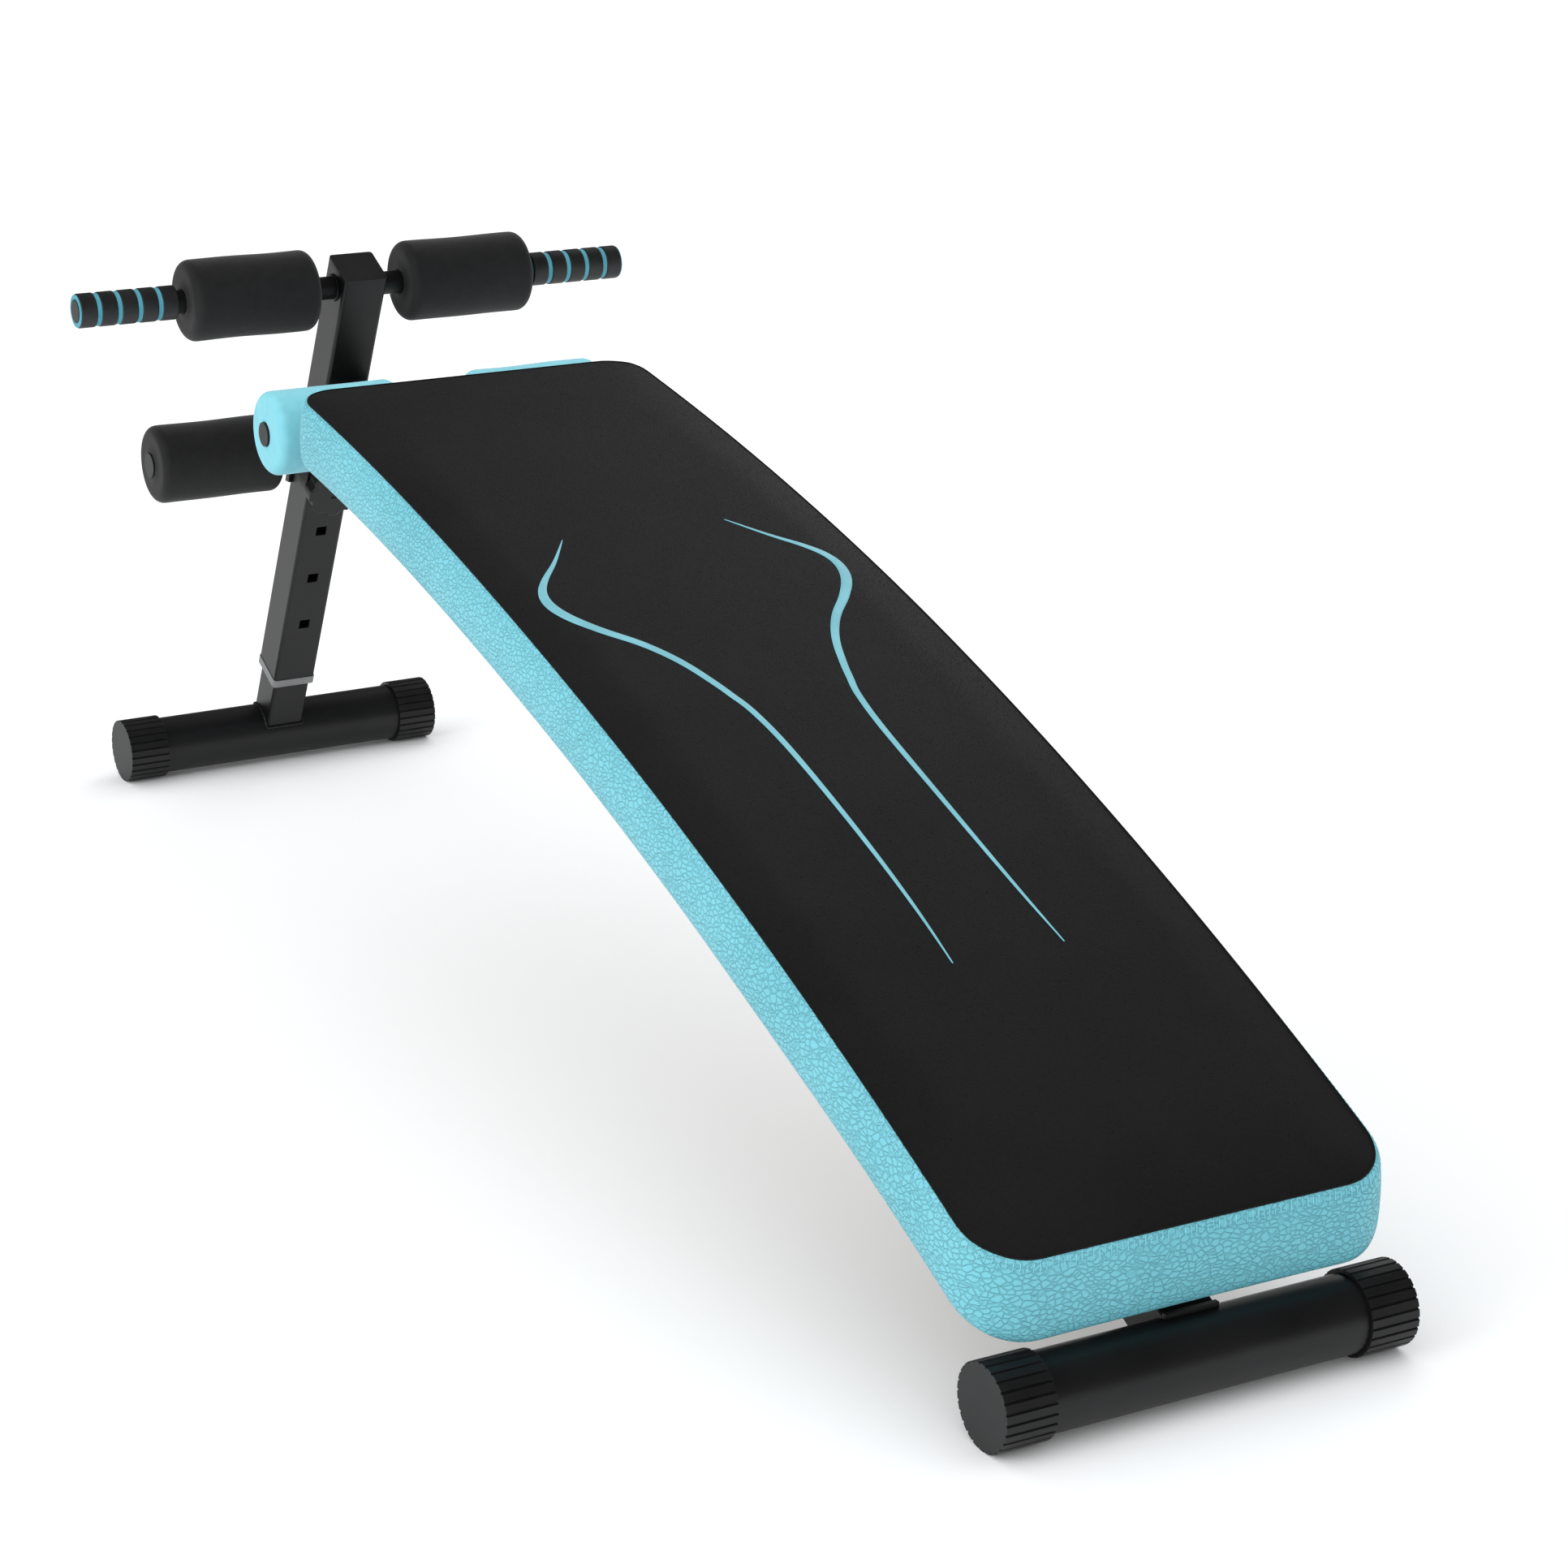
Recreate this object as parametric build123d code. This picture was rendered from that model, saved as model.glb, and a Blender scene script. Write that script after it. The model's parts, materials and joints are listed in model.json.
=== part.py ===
"""Decline sit-up bench: curved pad on a square beam, T-post on a telescoping rear leg, six rollers."""
from build123d import *
from math import sin, cos, tan, radians, degrees, sqrt
import os

# ---------------------------------------------------------------- driving sizes, mm and degrees
# Frame of the part: +X to the bench's left-right width, +Y from the low end to the post, +Z up.
# The origin is on the floor, midway between the two feet.

# feet
foot_span = 1536.0            # between the axes of the two foot tubes
foot_width = 308.0            # over the end caps
foot_tube_d = 52.0
foot_tube_wall = 2.0
cap_wall = 2.8
cap_end = 3.0                 # thickness of the closed end of a cap
cap_length = 36.8
cap_ribs = 26
rib_height = 1.4
rib_share = 0.70              # part of the pitch that a rib's flat takes

# post, its leg and the height holes; distances along the post start at the rear foot's axis
post_tilt = 27.0              # lean towards the low end, from the vertical
post_side = 40.0
post_wall = 1.5
tube_corner = 3.0             # outer corner radius of the square tubes
post_bottom = 81.0
post_top = 538.5
leg_side = 35.0
leg_wall = 2.0
leg_top = 503.0
glide_flange = 3.0
glide_stem = 6.0
slide_travel = 168.0
hole_side = 10.0              # square holes in the post
leg_hole_side = 11.0          # square holes behind them in the leg
hole_pitch = 56.0
hole_count = 4
lowest_hole = 68.0            # above the post's bottom end
bushing_band = 8.0
bushing_proud = 0.6
bushing_liner = 30.0
slide_gap = 0.3
top_cap_thickness = 3.0

# locking knob
knob_d = 51.0
knob_lobes = 8
knob_scallop_r = 6.0
knob_scallop_depth = 2.4
knob_thickness = 14.0
knob_washer_d = 24.0
knob_washer_thickness = 1.6
stud_d = 8.0
nut_side = 22.0
nut_height = 15.0
nut_thickness = 6.0
insert_side = 9.0

# pad: its top is an arc along the bench
pad_radius = 3785.0
pad_slope_low = 26.0          # slope of the arc above the front foot
pad_overhang = 5.0            # of pad in front of the front foot's axis, level
pad_reach = 1126.0            # arc length of the top behind the front foot's axis
pad_width = 311.0
pad_thickness = 58.0
pad_corner = 35.0
pad_nose = 12.0               # rounding of the bottom edge at the low end
top_layer = 5.0               # the black top panel
board_thickness = 12.0
board_border = 14.0           # cushion along the board's sides and high end
board_nose_border = 30.0      # cushion in front of the board's low end
pad_plate_width = 240.0
pad_plate_run = 36.0
pad_plate_thickness = 3.0
pad_plate_stations = (0.16, 0.50, 0.84)   # shares of the pad's reach
screw_spots = (55.0, 105.0)   # distance from the middle, either side
screw_d = 5.0
screw_head_d = 11.0
screw_head_height = 3.0
screw_bite = 9.0              # depth of a screw in the board

# beam under the pad
beam_wall = 2.0
beam_height_low = 54.2        # height of the beam's top above the front foot's axis
beam_bend_radius = 600.0      # top face, where the beam levels out behind the pad
beam_level_start = 31.0       # arc length of pad left behind where the beam starts to level
beam_post_gap = 3.0
front_cap_rise = 3.5          # above the front foot tube
front_cap_thickness = 4.0
front_cap_inset = 2.0         # behind the front foot's axis

# bracket that holds the beam's end and wraps the post from behind
bracket_wall = 3.0
bracket_bottom = 297.0
bracket_top = 398.0           # at the front edge
bracket_fall = 14.0           # of the flange's top edge from the front to the rear
bracket_reach = 112.0         # level, forward of where the knob meets the post
bracket_knob_room = 30.0      # clear of the knob's axis, along the post
arch_r = 15.0
bolt_d = 8.0
bolt_head_across = 13.0
bolt_head_height = 5.3
bolt_nut_height = 8.0
bolt_washer_d = 16.0
bolt_washer_thickness = 1.6
bolt_spots = (22.0, 52.0)     # from the bracket's front edge

# bars, rollers and grips
bar_d = 20.0
bar_wall = 1.5
bar_along_post = 521.5        # handlebar's axis
handlebar_length = 504.0
roller_d = 70.0
roller_length = 115.0
roller_edge = 7.0
sleeve_wall = 2.0             # of the plastic tube inside the foam
running_gap = 0.05
upper_roller_inner = 42.5     # from the middle plane to a roller's inner end
low_roller_inner = 35.0
knee_bar_behind_pad = 67.0    # bar's axis behind the pad's end, level
knee_bar_rise = 7.0           # bar's axis above the beam's top face
lower_bar_along_post = 316.0
lug_thickness = 4.0
lug_spot = 14.0
lug_margin = 5.0              # of lug round the bar
lug_reach = 0.5               # gap between the bracket's web and the bar
ankle_plug_d = 22.0
knee_plug_d = 20.0
plug_flange = 2.0
plug_stem = 10.0
plug_gap = 0.5
grip_length = 86.0
grip_flange = 0.8
grip_flange_d = 27.6
grip_d = 29.3
grip_core_d = 25.6
grip_ring_d = 27.8
grip_bands = 5
grip_band = 14.2
contact_gap = 0.05            # between pieces that rest on each other

# ---------------------------------------------------------------- places that follow from them
beam_side = post_side         # the bracket's flanges lie against both
pad_height_low = beam_height_low + pad_thickness / cos(radians(pad_slope_low))
cap_r = foot_tube_d / 2 + cap_wall
foot_z = cap_r
front_y = -foot_span / 2
rear_y = foot_span / 2
bar_r = bar_d / 2
roller_r = roller_d / 2
post_half = post_side / 2
top_hole = post_bottom + lowest_hole + hole_pitch * (hole_count - 1)
handlebar_half = handlebar_length / 2

arc_y = front_y + pad_radius * sin(radians(pad_slope_low))
arc_z = pad_height_low - pad_radius * cos(radians(pad_slope_low))
pad_slope_end = pad_slope_low - degrees(pad_reach / pad_radius)
beam_slope_end = pad_slope_end + degrees(beam_level_start / pad_radius)
arc_axis = Axis((0, arc_y, arc_z), (-1, 0, 0))


def on_arc(slope, depth):
    """Point (y, z) on the pad's arc where its slope is this many degrees, this deep below it."""
    radius = pad_radius - depth
    return arc_y - radius * sin(radians(slope)), arc_z + radius * cos(radians(slope))


def on_post(forward, along):
    """Point (y, z) in the post's frame: forward of its axis and along it from the rear foot."""
    lean = radians(post_tilt)
    y = rear_y - forward * cos(lean) - along * sin(lean)
    return y, foot_z - forward * sin(lean) + along * cos(lean)


def post_plane(forward=0.0, along=0.0):
    """Plane across the post: local X is the bench's X, local Y is forward, normal is up the post."""
    lean = radians(post_tilt)
    y, z = on_post(forward, along)
    return Plane((0, y, z), x_dir=(-1, 0, 0), z_dir=(0, -sin(lean), cos(lean)))


def knob_plane(forward):
    """Plane on the knob's axis, facing forward, its local Y up the post."""
    lean = radians(post_tilt)
    y, z = on_post(forward, top_hole)
    return Plane((0, y, z), x_dir=(1, 0, 0), z_dir=(0, -cos(lean), -sin(lean)))


def arc_plane(slope, depth):
    """Plane across the pad's arc: local X is the bench's X, normal runs up the bench."""
    y, z = on_arc(slope, depth)
    return Plane((0, y, z), x_dir=(1, 0, 0), z_dir=(0, cos(radians(slope)), sin(radians(slope))))


def side_plane(x=0.0):
    """Plane of a side view at this X: local X is Y and local Y is Z, normal is +X."""
    return Plane((x, 0, 0), x_dir=(0, 1, 0), z_dir=(1, 0, 0))


beam_level_y, beam_level_z = on_arc(beam_slope_end, pad_thickness)
bend_y = beam_level_y + beam_bend_radius * sin(radians(beam_slope_end))
bend_z = beam_level_z - beam_bend_radius * cos(radians(beam_slope_end))
beam_top_z = bend_z + beam_bend_radius
beam_end_y = on_post(post_half, 0)[0] - (beam_top_z - on_post(post_half, 0)[1]) * tan(radians(post_tilt))
knee_bar_y = on_arc(pad_slope_end, 0)[0] + knee_bar_behind_pad
knee_bar_z = beam_top_z + knee_bar_rise
lug_root = post_half + bracket_wall + 2 * contact_gap
lower_bar_forward = -(lug_root + bar_r + lug_reach)
handlebar_y, handlebar_z = on_post(0, bar_along_post)
lower_bar_y, lower_bar_z = on_post(lower_bar_forward, lower_bar_along_post)
sleeve_d = bar_d + 2 * sleeve_wall
bracket_front_y = on_post(post_half, top_hole)[0] - bracket_reach
bolt_z = beam_top_z - beam_side / 2


def rod(radius, x_from, x_to, y, z):
    """Round bar along X."""
    plane = Plane((x_from, y, z), x_dir=(0, 1, 0), z_dir=(1, 0, 0))
    return extrude(plane * Circle(radius), amount=x_to - x_from)


def pipe(radius, wall, x_from, x_to, y, z):
    """Round tube along X."""
    return rod(radius, x_from, x_to, y, z) - rod(radius - wall, x_from - 1, x_to + 1, y, z)


def square(side):
    """Square section with the tubes' rounded corners."""
    return RectangleRounded(side, side, tube_corner)


def square_ring(side, wall):
    """Section of a square tube."""
    inner = side - 2 * wall
    return square(side) - RectangleRounded(inner, inner, tube_corner - wall / 2)


def save(shape, name):
    """Write one node as parts/NAME.step."""
    if isinstance(shape, (list, tuple)):
        shape = Compound(children=[piece.solid() if len(piece.solids()) == 1 else piece for piece in shape])
    export_step(shape, f"parts/{name}.step")


# ---------------------------------------------------------------- feet
def foot_tube(y):
    """Round cross tube that lies on the floor between its two caps."""
    half = foot_width / 2 - cap_end
    return pipe(foot_tube_d / 2, foot_tube_wall, -half, half, y, foot_z)


def rib_outline():
    """Outline of a ribbed cap: flat-topped ribs with one rib flat on the floor."""
    pitch = 360 / cap_ribs
    half_flat = cap_r * tan(radians(pitch * rib_share / 2))
    valley = cap_r - rib_height
    points = []
    for i in range(cap_ribs):
        turn = -90 + i * pitch
        for along, across in ((valley, -1.25), (cap_r, -1), (cap_r, 1), (valley, 1.25)):
            side = across * half_flat
            x = along * cos(radians(turn)) - side * sin(radians(turn))
            y = along * sin(radians(turn)) + side * cos(radians(turn))
            points.append((x, y))
    return make_face(Polyline(*points, close=True))


def foot_cap(y, side):
    """Ribbed plastic cap on one end of a foot tube; side is -1 or 1."""
    outer_x = side * foot_width / 2
    plane = Plane((outer_x, y, foot_z), x_dir=(0, 1, 0), z_dir=(-side, 0, 0))
    cap = extrude(plane * rib_outline(), amount=cap_length)
    bore = rod(foot_tube_d / 2 + contact_gap, 0, side * (foot_width / 2 - cap_end), y, foot_z)
    return cap - bore


# ---------------------------------------------------------------- rear leg
def leg_tube():
    """Square leg welded on the rear foot, slotted in front for the knob's stud."""
    section = square_ring(leg_side, leg_wall)
    tube = extrude(post_plane(0, 0) * section, amount=leg_top)
    tube -= rod(foot_tube_d / 2 + contact_gap, -leg_side, leg_side, rear_y, foot_z)
    slot_low = top_hole - stud_d / 2 - 2
    slot_high = top_hole + slide_travel + stud_d / 2 + 2
    slot = knob_plane(leg_side / 2 - leg_wall - 1) * Pos(0, (slot_low + slot_high) / 2 - top_hole)
    slot *= SlotOverall(slot_high - slot_low, stud_d + 2.4, rotation=90)
    tube -= extrude(slot, amount=leg_wall + 2)
    for i in range(1, hole_count):
        hole = Pos(0, -i * hole_pitch) * Rectangle(leg_hole_side, leg_hole_side)
        tube -= extrude(knob_plane(leg_side / 2 - leg_wall - 1) * hole, amount=leg_wall + 2)
    return tube


def leg_glide():
    """Plastic glide in the top of the leg, guided by the post's bore."""
    bore = post_side - 2 * post_wall
    flange = extrude(post_plane(0, leg_top) * square(bore - 2 * slide_gap), amount=glide_flange)
    inner = leg_side - 2 * leg_wall - 2 * contact_gap
    stem = extrude(post_plane(0, leg_top - glide_stem) * square(inner), amount=glide_stem)
    return flange + stem


# ---------------------------------------------------------------- post
def post_tube():
    """Square T-post with its height holes, a stud hole and the handlebar's holes."""
    section = post_plane(0, post_bottom) * square_ring(post_side, post_wall)
    tube = extrude(section, amount=post_top - post_bottom)
    for i in range(hole_count):
        hole = Pos(0, -i * hole_pitch) * Rectangle(hole_side, hole_side)
        tube -= extrude(knob_plane(post_half - post_wall - 1) * hole, amount=post_wall + 2)
    return tube - rod(bar_r + contact_gap, -post_side, post_side, handlebar_y, handlebar_z)


def post_top_cap():
    """Flat square cap on the post's head."""
    cap = extrude(post_plane(0, post_top) * square(post_side), amount=top_cap_thickness)
    inner = post_side - 2 * post_wall - 2 * contact_gap
    stem_length = post_top - bar_along_post - bar_r - 1
    return cap + extrude(post_plane(0, post_top - stem_length) * square(inner), amount=stem_length)


def post_bushing():
    """Grey guide at the post's mouth: a band below the tube and a thin liner inside it."""
    opening = leg_side + 2 * slide_gap
    band_side = post_side + 2 * bushing_proud
    bore = post_side - 2 * post_wall
    mouth = post_bottom - bushing_band
    band = extrude(post_plane(0, mouth) * square(band_side), amount=bushing_band)
    liner = extrude(post_plane(0, post_bottom) * square(bore - 2 * contact_gap), amount=bushing_liner)
    hollow = extrude(post_plane(0, mouth - 1) * square(opening), amount=bushing_band + bushing_liner + 2)
    return band + liner - hollow


# ---------------------------------------------------------------- knob
def knob_washer():
    """Washer between the knob and the post."""
    ring = Circle(knob_washer_d / 2) - Circle(stud_d / 2 + 0.4)
    return extrude(knob_plane(post_half + contact_gap) * ring, amount=knob_washer_thickness)


def star_knob():
    """Lobed plastic knob with a square recess in its face."""
    back = post_half + knob_washer_thickness + 0.4
    face = Circle(knob_d / 2)
    reach = knob_d / 2 + knob_scallop_r - knob_scallop_depth
    for i in range(knob_lobes):
        face -= Rot(0, 0, (i + 0.5) * 360 / knob_lobes) * Pos(reach, 0) * Circle(knob_scallop_r)
    knob = extrude(knob_plane(back) * face, amount=knob_thickness)
    rims = knob.faces().sort_by(Axis(knob_plane(0).origin, knob_plane(0).z_dir))[-1].edges()
    knob = fillet(rims, 2.0)
    recess = extrude(knob_plane(back + knob_thickness - 2) * Rectangle(insert_side, insert_side), amount=4)
    return knob - recess - extrude(knob_plane(back - 1) * Circle(stud_d / 2), amount=knob_thickness - 3)


def knob_insert():
    """Square metal insert seen in the knob's face."""
    back = post_half + knob_washer_thickness + 0.4 + knob_thickness - 2
    side = insert_side - 2 * contact_gap
    return extrude(knob_plane(back) * Rectangle(side, side), amount=1.2)


def knob_stud():
    """Threaded stud: fast in the knob, through the post's top hole and the leg's slot."""
    start = leg_side / 2 - leg_wall - slide_gap - nut_thickness - 2
    end = post_half + knob_washer_thickness + 0.4 + knob_thickness - 4
    return extrude(knob_plane(start) * Circle(stud_d / 2), amount=end - start)


def clamp_nut():
    """Square nut inside the leg that the stud draws against the leg's front wall."""
    start = leg_side / 2 - leg_wall - slide_gap - nut_thickness
    section = Rectangle(nut_side, nut_height) - Circle(stud_d / 2 + running_gap)
    return extrude(knob_plane(start) * section, amount=nut_thickness)


# ---------------------------------------------------------------- beam and bracket
def main_beam():
    """Square beam: an arc under the pad, a bend that levels it, then straight to the post."""
    section = square_ring(beam_side, beam_wall)
    depth = pad_thickness + contact_gap + beam_side / 2
    start = pad_slope_low + 1.5
    arc = revolve(arc_plane(start, depth) * section, axis=arc_axis, revolution_arc=start - beam_slope_end)
    bend_axis = Axis((0, bend_y, bend_z), (-1, 0, 0))
    bend = revolve(arc_plane(beam_slope_end, depth) * section, axis=bend_axis, revolution_arc=beam_slope_end)
    level = Plane((0, bend_y, beam_top_z - beam_side / 2 - contact_gap), x_dir=(1, 0, 0), z_dir=(0, 1, 0))
    straight = extrude(level * section, amount=beam_end_y - beam_post_gap - bend_y)
    beam = arc + bend + straight
    front_cut = front_y + front_cap_inset + front_cap_thickness + contact_gap
    beam -= Pos(0, front_cut - foot_span / 2, foot_z) * Box(2 * beam_side, foot_span, 2 * foot_span)
    beam -= rod(foot_tube_d / 2 + contact_gap, -beam_side, beam_side, front_y, foot_z)
    # the beam rests on the foot tube from behind and above, and doesn't reach under it
    under_end = front_y + foot_tube_d / 4
    beam -= Pos(0, under_end - foot_span / 2, foot_z - foot_span / 2) * Box(2 * beam_side, foot_span, foot_span)
    beam -= rod(bar_r + contact_gap, -beam_side, beam_side, knee_bar_y, knee_bar_z)
    for y in bolt_places():
        beam -= rod(bolt_d / 2 + contact_gap, -beam_side, beam_side, y, bolt_z)
    return beam


def beam_front_cap():
    """Steel plate that closes the beam's low end above the front foot."""
    height = foot_tube_d / 2 + front_cap_rise
    plate = Pos(0, front_y + front_cap_inset + front_cap_thickness / 2, foot_z + height / 2)
    plate *= Box(beam_side, front_cap_thickness, height)
    return plate - rod(foot_tube_d / 2 + contact_gap, -beam_side, beam_side, front_y, foot_z)


def bolt_places():
    """Y of each bolt through the bracket and the beam."""
    return [bracket_front_y + spot for spot in bolt_spots]


def bracket_outline():
    """Side view of a bracket flange: level foot, arch between its two toes, arm forward to the beam."""
    lean = tan(radians(post_tilt))

    def at_height(forward, z):
        y0, z0 = on_post(forward, 0)
        return y0 - (z - z0) * lean, z

    rear = -(post_half + bracket_wall)
    arm_z = beam_top_z - beam_side + 2
    notch = on_post(post_half, top_hole + bracket_knob_room)
    face = make_face(Polyline(
        at_height(rear, bracket_bottom), at_height(post_half, bracket_bottom), notch,
        (bracket_front_y, arm_z), (bracket_front_y, bracket_top),
        at_height(rear, bracket_top - bracket_fall), close=True))
    arch = (at_height(rear, bracket_bottom)[0] + at_height(post_half, bracket_bottom)[0]) / 2
    return face - Pos(arch, bracket_bottom) * Circle(arch_r)


def post_bracket():
    """Folded plate: a web behind the post and a flange on each side that reaches to the beam."""
    outline = bracket_outline()
    inner = post_half + contact_gap
    bracket = extrude(side_plane(inner) * outline, amount=bracket_wall)
    bracket += extrude(side_plane(-inner) * outline, amount=-bracket_wall)
    web = post_plane(-(post_half + contact_gap + bracket_wall / 2), post_bottom)
    web *= Rectangle(2 * inner + 2 * bracket_wall, bracket_wall)
    web = extrude(web, amount=post_top - post_bottom)
    web_top = bracket_top - bracket_fall
    height = web_top - bracket_bottom
    web &= Pos(0, rear_y, (web_top + bracket_bottom) / 2) * Box(4 * post_side, foot_span, height)
    bracket += web
    for y in bolt_places():
        bracket -= rod(bolt_d / 2 + contact_gap, -post_side, post_side, y, bolt_z)
    return bracket


def bolt_side():
    """Outer face of a bracket flange, from the middle plane."""
    return post_half + contact_gap + bracket_wall


def hexagon(across):
    return RegularPolygon(across / 2, 6, major_radius=False)


def bracket_bolts():
    """Hex bolts through the flanges and the beam, heads on the -X side."""
    bolts = []
    start = -(bolt_side() + bolt_washer_thickness)
    end = bolt_side() + bolt_washer_thickness + bolt_nut_height + 1.5
    for y in bolt_places():
        shank = rod(bolt_d / 2, start, end, y, bolt_z)
        head = side_plane(start) * Pos(y, bolt_z) * hexagon(bolt_head_across)
        bolts.append(shank + extrude(head, amount=-bolt_head_height))
    return bolts


def bracket_nuts():
    nuts = []
    for y in bolt_places():
        section = hexagon(bolt_head_across) - Circle(bolt_d / 2)
        nut = side_plane(bolt_side() + bolt_washer_thickness) * Pos(y, bolt_z) * section
        nuts.append(extrude(nut, amount=bolt_nut_height))
    return nuts


def bracket_washers():
    washers = []
    for y in bolt_places():
        for side in (-1, 1):
            section = Circle(bolt_washer_d / 2) - Circle(bolt_d / 2 + 0.2)
            washer = side_plane(side * bolt_side()) * Pos(y, bolt_z) * section
            washers.append(extrude(washer, amount=side * bolt_washer_thickness))
    return washers


# ---------------------------------------------------------------- bars and lugs
def ankle_bar_lugs():
    """Two lugs that weld the ankle bar to the bracket's web."""
    lean = radians(post_tilt)
    reach = -lower_bar_forward - lug_root
    lug_r = bar_r + lug_margin
    outline = Pos(reach, 0) * Circle(lug_r) + Pos(reach / 2, 0) * Rectangle(reach, 2 * lug_r)
    outline &= Pos(lug_r + reach, 0) * Rectangle(2 * (lug_r + reach), 4 * lug_r)
    outline -= Pos(reach, 0) * Circle(bar_r + contact_gap)
    lugs = []
    y, z = on_post(-lug_root, lower_bar_along_post)
    for side in (-1, 1):
        start = side * lug_spot - lug_thickness / 2
        plane = Plane((start, y, z), x_dir=(0, cos(lean), sin(lean)), z_dir=(1, 0, 0))
        lugs.append(extrude(plane * outline, amount=lug_thickness))
    return lugs


def cross_bar(half, y, z):
    return pipe(bar_r, bar_wall, -half, half, y, z)


def bar_plugs(half, y, z, flange_d):
    """Plastic plugs in both ends of a bar."""
    plugs = []
    for side in (-1, 1):
        stem = rod(bar_r - bar_wall, side * (half - plug_stem), side * half, y, z)
        plugs.append(stem + rod(flange_d / 2, side * half, side * (half + plug_flange), y, z))
    return plugs


def roller_bar_half():
    return low_roller_inner + roller_length + plug_gap


# ---------------------------------------------------------------- rollers and grips
def foam_roller(side, inner, y, z):
    """Foam cylinder with rounded rims."""
    body = rod(roller_r, side * inner, side * (inner + roller_length), y, z)
    body = fillet(body.edges().filter_by(GeomType.CIRCLE), roller_edge)
    start, end = side * (inner - 1), side * (inner + roller_length + 1)
    return body - rod(sleeve_d / 2 + contact_gap, start, end, y, z)


def roller_sleeve(side, inner, y, z):
    """Plastic tube inside a roller that turns on the bar."""
    start, end = side * inner, side * (inner + roller_length)
    sleeve = rod(sleeve_d / 2, start, end, y, z)
    return sleeve - rod(bar_r + running_gap, start - side, end + side, y, z)


def grip_inner():
    """X where a grip starts, from the middle plane."""
    return handlebar_half - grip_length


def grip_pitch():
    return (grip_length - grip_band) / (grip_bands - 1)


def grip_core(side):
    """Coloured sleeve on the bar with a ring between the bands and a flange at its end."""
    core = rod(grip_core_d / 2, side * grip_inner(), side * handlebar_half, handlebar_y, handlebar_z)
    for i in range(grip_bands - 1):
        start = grip_inner() + i * grip_pitch() + grip_band
        end = grip_inner() + (i + 1) * grip_pitch()
        core += rod(grip_ring_d / 2, side * start, side * end, handlebar_y, handlebar_z)
    end = handlebar_half + grip_flange
    core += rod(grip_flange_d / 2, side * handlebar_half, side * end, handlebar_y, handlebar_z)
    bore_start, bore_end = side * (grip_inner() - 1), side * (end + 1)
    return core - rod(bar_r + contact_gap, bore_start, bore_end, handlebar_y, handlebar_z)


def grip_band_rings(side):
    """Black bands on a grip."""
    bands = []
    for i in range(grip_bands):
        start = grip_inner() + i * grip_pitch()
        band = rod(grip_d / 2, side * start, side * (start + grip_band), handlebar_y, handlebar_z)
        band = fillet(band.edges().filter_by(GeomType.CIRCLE), 1.2)
        hole = rod(grip_core_d / 2 + contact_gap, side * (start - 1), side * (start + grip_band + 1),
                   handlebar_y, handlebar_z)
        bands.append(band - hole)
    return bands


def handlebar_plugs():
    """Plugs in the handlebar's ends, seen inside the grips' flanges."""
    plugs = []
    for side in (-1, 1):
        stem = rod(bar_r - bar_wall, side * (handlebar_half - plug_stem), side * handlebar_half,
                   handlebar_y, handlebar_z)
        disc = rod(bar_r - contact_gap, side * handlebar_half, side * (handlebar_half + 1.4),
                   handlebar_y, handlebar_z)
        plugs.append(stem + disc)
    return plugs


# ---------------------------------------------------------------- pad
def arc_slab(half_width, top_depth, bottom_depth, low_margin, high_margin, corner):
    """Slab bent along the pad's arc, upright at the low end, with round plan corners."""
    start = pad_slope_low + degrees((pad_overhang + pad_thickness) / pad_radius)
    turn = start - (pad_slope_end + degrees(high_margin / pad_radius))
    section = Rectangle(2 * half_width, bottom_depth - top_depth)
    depth = (top_depth + bottom_depth) / 2
    slab = revolve(arc_plane(start, depth) * section, axis=arc_axis, revolution_arc=turn)
    short = [edge for edge in slab.edges() if edge.length < pad_reach / 3]
    high = [edge for edge in short if edge.center().Y > 0]
    slab = fillet([edge for edge in high if abs(edge.center().X) > 0.99 * half_width], corner)
    low_face = front_y - pad_overhang + low_margin
    outline = Pos(0, low_face + foot_span / 2) * RectangleRounded(2 * half_width, foot_span, corner)
    return slab & extrude(outline, amount=foot_span)


def pad_top_panel():
    """Black top layer of the cushion."""
    return arc_slab(pad_width / 2 - 2, 0, top_layer, 2, 2, pad_corner - 2)


def pad_cushion():
    """Coloured body of the cushion, hollow below for the board."""
    half = pad_width / 2
    body = arc_slab(half, top_layer + contact_gap, pad_thickness, 0, 0, pad_corner)
    under = body.faces().sort_by(SortBy.AREA)[-2:].sort_by(Axis.Z)[0]
    nose = under.edges().sort_by(Axis.Y)[0]
    body = fillet(nose, pad_nose)
    roof = pad_thickness - pad_plate_thickness - board_thickness - contact_gap
    corner = pad_corner - board_border / 2
    below = pad_thickness + 5
    return body - arc_slab(half - board_border, roof, below, board_nose_border, board_border, corner)


def pad_board():
    """Plywood board in the cushion's underside, with the screws' pilot holes."""
    low = pad_thickness - pad_plate_thickness
    gap = board_border + 0.3
    corner = pad_corner - board_border / 2
    half = pad_width / 2 - gap
    board = arc_slab(half, low - board_thickness, low, board_nose_border + 0.3, gap, corner)
    for plane, x in screw_places():
        board -= extrude(plane * Pos(x, 0) * Circle(screw_d / 2), amount=pad_plate_thickness + screw_bite)
    return board


def station_slopes():
    """Slope of the arc at the middle of each cross plate."""
    return [pad_slope_low - degrees(share * pad_reach / pad_radius) for share in pad_plate_stations]


def screw_places():
    """Planes on the pad's underside, facing into the pad, with each screw's X."""
    places = []
    for slope in station_slopes():
        y, z = on_arc(slope, pad_thickness)
        lean = radians(slope)
        plane = Plane((0, y, z), x_dir=(1, 0, 0), z_dir=(0, -sin(lean), cos(lean)))
        for spot in screw_spots:
            places += [(plane, -spot), (plane, spot)]
    return places


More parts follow.
